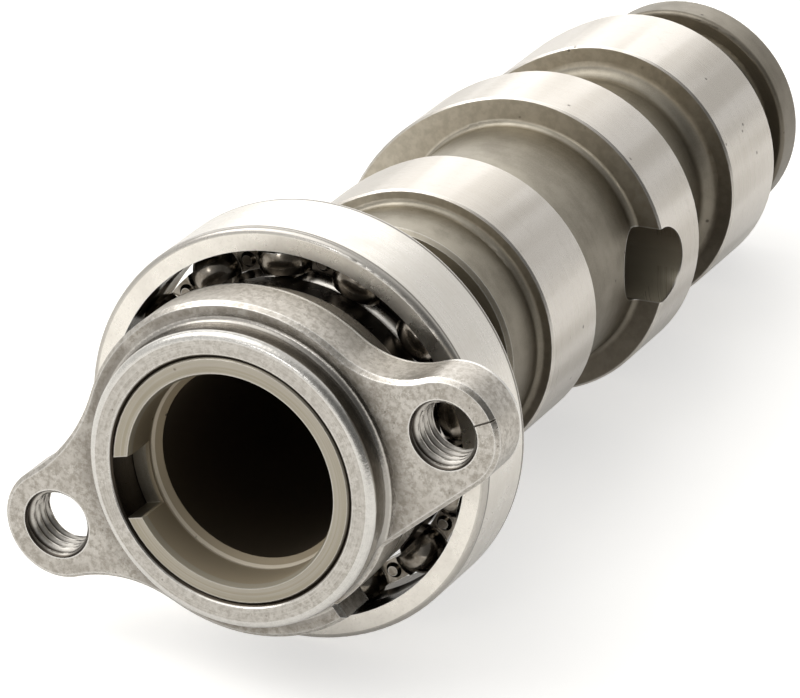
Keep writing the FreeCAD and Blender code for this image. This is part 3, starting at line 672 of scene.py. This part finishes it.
def cage_material():
    """Pressed steel strip, dark from oil, with painted highlights on its edges."""
    metal = Metal("cage_steel")
    darkening = metal.patches(scale=0.9, detail=4.0, roughness=0.6)
    grain = metal.patches(scale=6.0, detail=2.0, roughness=0.6)
    layers = Layers(metal, metal.smooth(darkening, 0.35, 0.7), CAGE, CAGE_OILY)
    # Painted highlight on the cage's edges
    layers.lay(CAGE_EDGE_HIGHLIGHT, metal.edges(width=0.12), share=0.85)
    rough = metal.smooth(darkening, 0.3, 0.7, 0.11, 0.22)
    return metal.finish(layers.colour, rough, metal.relief((grain, 0.004)))


def thread_material():
    """Cut threads: bright crests, and painted shade in the roots."""
    metal = Metal("thread_steel")
    grain = metal.patches(scale=5.0, detail=3.0, roughness=0.6)
    distances = [metal.distance_from(centre) for centre in EAR_CENTRES.values()]
    depth = metal.chain("MINIMUM", distances)
    layers = Layers(metal, metal.smooth(grain, 0.3, 0.7), THREAD_DULL, THREAD)
    # Painted shade in the thread's roots
    layers.lay(THREAD_ROOT_SHADE, metal.smooth(depth, EAR_HOLE_RADIUS - 0.35, EAR_HOLE_RADIUS - 0.12))
    rough = metal.smooth(grain, 0.3, 0.7, 0.28, 0.36)
    return metal.finish(layers.colour, rough, metal.relief((grain, 0.0008)))


def dress(material, *nodes):
    for name in nodes:
        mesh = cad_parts[name].data
        mesh.materials.clear()
        mesh.materials.append(material)


def mesh_object(name, points, faces, material):
    mesh = bpy.data.meshes.new(name)
    mesh.from_pydata(points, [], faces)
    mesh.validate()
    mesh.shade_smooth()
    mesh.set_sharp_from_angle(angle=math.radians(SHARP_ANGLE))
    mesh.materials.append(material)
    made = bpy.data.objects.new(name, mesh)
    bpy.context.scene.collection.objects.link(made)
    return made


def thread_profile(share):
    """Height of a thread, as a share of its full height, at a share of its pitch."""
    root, crest, flank = 0.15, 0.2, 0.325
    share %= 1.0
    if share < root:
        return 0.0
    if share < root + flank:
        return (share - root) / flank
    if share < root + flank + crest:
        return 1.0
    return (1.0 - share) / flank


def ring_of_points(centre, station, radii):
    """Points at even turns round a line along the axis, one for each radius."""
    points = []
    for step, radius in enumerate(radii):
        turn = 2 * math.pi * (step / len(radii))
        x = centre[0] + radius * math.cos(turn)
        z = centre[1] + radius * math.sin(turn)
        points.append((x * MM, station * MM, z * MM))
    return points


def make_thread(side, material):
    """Closed sleeve with an inside thread, sunk a little into the wall of an ear's hole."""
    length = PLATE_BACK - PLATE_FRONT
    rows = int(round(length / THREAD_PITCH * THREAD_PITCH_STEPS))
    loops = []
    for row in range(rows + 1):
        depth = THREAD_INSET + (length - 2 * THREAD_INSET) * row / rows
        ease = min(1.0, min(depth, length - depth) / (THREAD_RUN_OUT * THREAD_PITCH))
        radii = []
        for step in range(THREAD_TURN_STEPS):
            share = step / THREAD_TURN_STEPS
            height = THREAD_HEIGHT * ease * thread_profile(depth / THREAD_PITCH - share)
            radii.append(EAR_HOLE_RADIUS - THREAD_CLEARANCE - height)
        loops.append((depth, radii))
    for depth in (length - THREAD_INSET, THREAD_INSET):
        loops.append((depth, [EAR_HOLE_RADIUS + THREAD_SINK] * THREAD_TURN_STEPS))

    points, faces = [], []
    for depth, radii in loops:
        points += ring_of_points(EAR_CENTRES[side], PLATE_FRONT + depth, radii)
    starts = [index * THREAD_TURN_STEPS for index in range(len(loops))]
    for first, second in zip(starts, starts[1:] + starts[:1]):
        for step in range(THREAD_TURN_STEPS):
            after = (step + 1) % THREAD_TURN_STEPS
            faces.append((first + step, first + after, second + after, second + step))
    return mesh_object(f"ear_thread_{side}", points, faces, material)


def turned_shell(profile, slot_width):
    """Closed shell of stations and radii turned about the axis, open at the mouth's slot.

    A slot_width of nought gives the whole turn.
    """
    whole = slot_width == 0.0
    columns = MOUTH_STEPS if whole else MOUTH_STEPS + 1
    points, faces = [], []
    for column in range(columns):
        share = column / MOUTH_STEPS
        for station, radius in profile:
            gap = math.asin(slot_width / 2 / radius)
            turn = math.radians(SLOT_ANGLE) + gap + share * (2 * math.pi - 2 * gap)
            x = radius * math.sin(turn)
            z = radius * math.cos(turn)
            points.append((x * MM, station * MM, z * MM))
    count = len(profile)
    for column in range(MOUTH_STEPS):
        here = column * count
        there = (column + 1) % columns * count
        for corner in range(count):
            after = (corner + 1) % count
            faces.append((here + corner, here + after, there + after, there + corner))
    if not whole:
        faces.append(tuple(reversed(range(count))))
        faces.append(tuple(range((columns - 1) * count, columns * count)))
    return points, faces


def make_mouth_lining(material):
    """Wall of the mouth inside its chamfered edge, down to the ledge."""
    inner = MOUTH_RADIUS - LINING_THICKNESS
    outer = MOUTH_RADIUS + LINING_SINK
    front = TUBE_FACE + LINING_OVERLAP
    back = LEDGE + LINING_OVERLAP
    slotted = (
        (front, outer),
        (front, MOUTH_RADIUS - LINING_LIP),
        (front + LINING_CHAMFER, inner),
        (SLOT_END, inner),
        (SLOT_END, outer),
    )
    whole = ((SLOT_END, outer), (SLOT_END, inner), (back, inner), (back, outer))
    points, faces = turned_shell(slotted, SLOT_WIDTH)
    more_points, more_faces = turned_shell(whole, 0.0)
    shift = len(points)
    faces += [tuple(shift + index for index in face) for face in more_faces]
    return mesh_object("mouth_lining", points + more_points, faces, material)


def floor_slope():
    """Height at the origin and slope of the plane that the ring and the lobes rest on."""
    ring = np.array([v.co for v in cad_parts["bearing_outer_ring"].data.vertices])
    shaft = np.array([v.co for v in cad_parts["camshaft"].data.vertices])
    far = shaft[shaft[:, 1] > BEYOND_RING * MM]
    slope = 0.0
    for _ in range(FLOOR_ROUNDS):
        height = (ring[:, 2] - slope * ring[:, 1]).min()
        slope = ((far[:, 2] - height) / far[:, 1]).min()
    return height, slope


def floor_material():
    """Pale plain floor that glows a little to the camera, and less in the metals."""
    material = bpy.data.materials.new("floor_white")
    material.use_nodes = True
    graph = Graph(material.node_tree)
    output = graph.node("ShaderNodeOutputMaterial")
    diffuse = graph.node("ShaderNodeBsdfDiffuse")
    place = graph.node("ShaderNodeTexCoord").outputs["Object"]
    mottle = graph.noise(place, FLOOR_MOTTLE, detail=2.0)
    graph.put(diffuse.inputs["Color"], graph.mix(mottle, FLOOR_SHADE, FLOOR_COLOUR))
    glow = graph.node("ShaderNodeEmission")
    glow.inputs["Color"].default_value = (1.0, 1.0, 1.0, 1.0)
    glow.inputs["Strength"].default_value = FLOOR_GLOW
    dark = graph.node("ShaderNodeEmission")
    dark.inputs["Strength"].default_value = 0.0
    path = graph.node("ShaderNodeLightPath")
    reflected = graph.product(path.outputs["Is Glossy Ray"], FLOOR_GLOW_REFLECTED)
    gate = graph.node("ShaderNodeMixShader")
    graph.put(gate.inputs[0], graph.most(path.outputs["Is Camera Ray"], reflected))
    graph.put(gate.inputs[1], dark.outputs[0])
    graph.put(gate.inputs[2], glow.outputs[0])
    both = graph.node("ShaderNodeAddShader")
    graph.put(both.inputs[0], diffuse.outputs[0])
    graph.put(both.inputs[1], gate.outputs[0])
    graph.put(output.inputs[0], both.outputs[0])
    return material


def make_floor():
    height, slope = floor_slope()
    size = FLOOR_HALF
    corners = []
    for x, y in ((-size, -size), (size, -size), (size, size), (-size, size)):
        corners.append((x, y, height + slope * y))
    floor = mesh_object("floor", corners, [(0, 1, 2, 3)], floor_material())


def make_world():
    """Dim room with a dark side, a bright sweep low at the back and a soft box overhead."""
    world = bpy.data.worlds.new("tent")
    bpy.context.scene.world = world
    world.use_nodes = True
    graph = Graph(world.node_tree)
    output = graph.node("ShaderNodeOutputWorld")
    background = graph.node("ShaderNodeBackground")
    way = graph.node("ShaderNodeTexCoord").outputs["Generated"]
    sweep = graph.product(graph.smooth(graph.towards(way, SWEEP_WAY), *SWEEP_EDGE), SWEEP_LEVEL)
    box = graph.product(graph.smooth(graph.towards(way, BOX_WAY), *BOX_EDGE), BOX_LEVEL)
    dark = graph.towards(way, DARK_WAY)
    room = graph.smooth(dark, *DARK_EDGE, ROOM_LEVEL, ROOM_LEVEL - DARK_DROP)
    graph.put(background.inputs["Color"], ROOM_COLOUR)
    graph.put(background.inputs["Strength"], graph.total(sweep, box, room))
    graph.put(output.inputs[0], background.outputs[0])


def make_lamp(name, place, target, size, power, colour):
    data = bpy.data.lights.new(name, "AREA")
    data.shape = "SQUARE"
    data.size = size
    data.energy = power
    data.color = colour
    lamp = bpy.data.objects.new(name, data)
    bpy.context.scene.collection.objects.link(lamp)
    place = Vector(place)
    aim = (Vector(target) - place).to_track_quat("-Z", "Y")
    lamp.matrix_world = Matrix.Translation(place) @ aim.to_matrix().to_4x4()


bpy.context.scene.view_settings.view_transform = "Standard"
make_camera()
make_world()
for lamp_name, settings in LAMPS.items():
    make_lamp(lamp_name, **settings)
make_floor()
rings = ring_material()
shaft = shaft_material()
dress(shaft, "camshaft")
lining = make_mouth_lining(shaft)
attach(lining, "shaft")
dress(flange_material(), "sprocket_flange")
dress(rings, "bearing_inner_ring", "bearing_outer_ring")
dress(cage_material(), "bearing_cage_front", "bearing_cage_rear", "cage_rivets")
dress(ball_material(), *[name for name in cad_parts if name.startswith("ball_")])
threads = thread_material()
for side in EAR_ANGLES:
    thread = make_thread(side, threads)
    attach(thread, "shaft")
